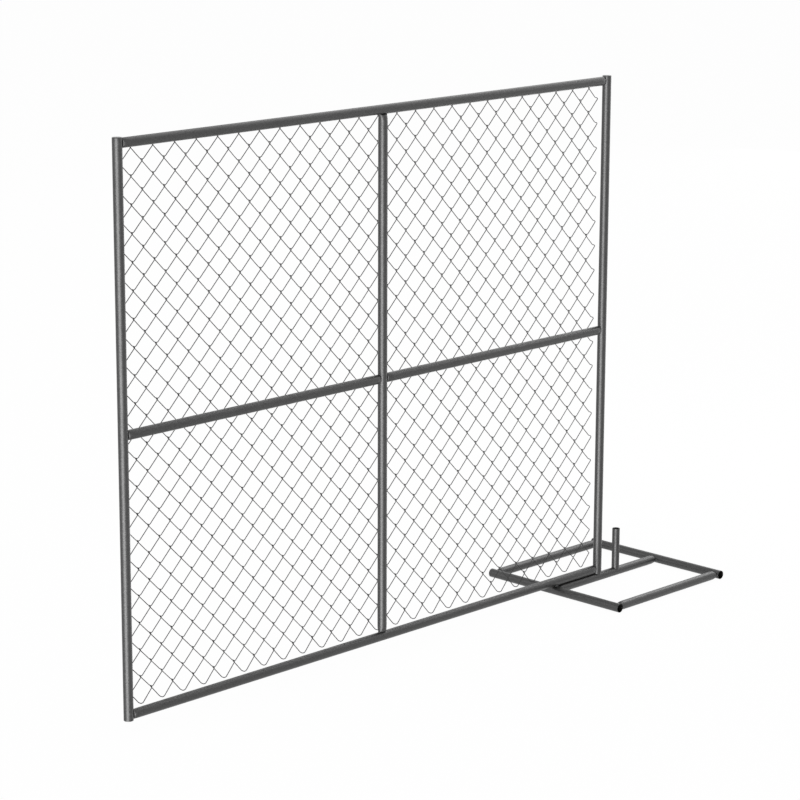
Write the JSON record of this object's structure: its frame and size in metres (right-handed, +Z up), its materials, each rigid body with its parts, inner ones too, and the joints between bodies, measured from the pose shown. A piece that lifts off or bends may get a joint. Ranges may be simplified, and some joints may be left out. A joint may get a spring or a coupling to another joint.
{
  "type": "temporary fence panel on a stand",
  "caption": "Chain-link safety fence panel in a tube frame, its end post swivelling on a pin of a flat tube stand that has a free pin for the next panel.",
  "frame": {"origin": "on the floor, under the middle of the whole barrier", "axes": "+X along the fence towards the stand, +Y towards the side the mesh is on, +Z up"},
  "size_m": [3.4955, 0.825, 2.4841],
  "materials": {
    "frame_tube": "satin dark grey",
    "post_cap": "satin dark grey",
    "mesh_wire": "dull dark grey galvanised",
    "stand_tube": "satin dark grey"
  },
  "bodies": {
    "stand": {"stand_side_bar_left": "stand_tube", "stand_side_bar_right": "stand_tube", "stand_cross_bar_front": "stand_tube", "stand_cross_bar_middle": "stand_tube", "stand_cross_bar_rear": "stand_tube", "panel_pin": "stand_tube", "free_pin": "stand_tube"},
    "panel": {"left_post": "frame_tube", "right_post": "frame_tube", "mid_post": "frame_tube", "top_rail": "frame_tube", "bottom_rail": "frame_tube", "mid_rail_left": "frame_tube", "mid_rail_right": "frame_tube", "left_post_cap": "post_cap", "right_post_cap": "post_cap", "mesh_wire_01": "mesh_wire", "mesh_wire_02": "mesh_wire", "mesh_wire_03": "mesh_wire", "mesh_wire_04": "mesh_wire", "mesh_wire_05": "mesh_wire", "mesh_wire_06": "mesh_wire", "mesh_wire_07": "mesh_wire", "mesh_wire_08": "mesh_wire", "mesh_wire_09": "mesh_wire", "mesh_wire_10": "mesh_wire", "mesh_wire_11": "mesh_wire", "mesh_wire_12": "mesh_wire", "mesh_wire_13": "mesh_wire", "mesh_wire_14": "mesh_wire", "mesh_wire_15": "mesh_wire", "mesh_wire_16": "mesh_wire", "mesh_wire_17": "mesh_wire", "mesh_wire_18": "mesh_wire", "mesh_wire_19": "mesh_wire", "mesh_wire_20": "mesh_wire", "mesh_wire_21": "mesh_wire", "mesh_wire_22": "mesh_wire", "mesh_wire_23": "mesh_wire", "mesh_wire_24": "mesh_wire", "mesh_wire_25": "mesh_wire", "mid_post_ties": "mesh_wire", "mid_rail_ties_left": "mesh_wire", "mid_rail_ties_right": "mesh_wire"}
  },
  "joints": [
    {"name": "panel_swivel", "type": "hinge", "parent": "stand", "child": "panel", "pos_m": [1.27325, 0, 0.0423], "axis": [0, 0, 1], "range_deg": [-160, 163]}
  ]
}
